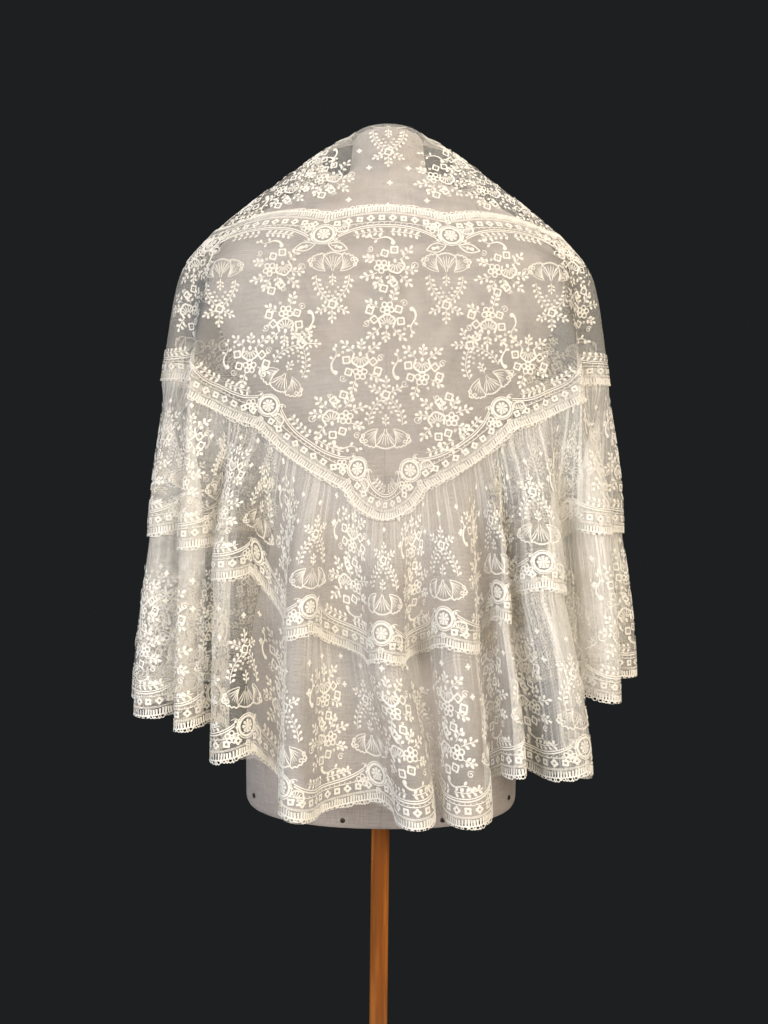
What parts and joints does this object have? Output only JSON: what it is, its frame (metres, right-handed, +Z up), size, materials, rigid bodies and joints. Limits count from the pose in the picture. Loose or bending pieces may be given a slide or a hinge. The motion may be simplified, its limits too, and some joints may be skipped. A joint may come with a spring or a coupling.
{
  "type": "lace mantilla on a dress form stand",
  "caption": "Embroidered net shoulder mantilla with a stand-up collar flounce, scalloped body and gathered flounces, draped on a limbless dress form with a wood pole and round foot.",
  "frame": {"origin": "centre of the foot's underside, on the floor", "axes": "+Z up along the pole, -Y towards the mantilla's back (the side in the picture), +X to the right in the picture"},
  "size_m": [0.603, 0.3889, 1.4967],
  "materials": {
    "lace": "cream cotton net, hand embroidered, matt",
    "form_linen": "grey linen cover, plain weave, matt",
    "pole_wood": "orange-brown varnished hardwood, satin",
    "foot_wood": "orange-brown varnished hardwood, satin"
  },
  "bodies": {
    "root": {"collar_flounce": "lace", "body": "lace", "flounce_upper": "lace", "flounce_lower": "lace", "dress_form": "form_linen", "pole": "pole_wood", "foot": "foot_wood"}
  },
  "joints": []
}
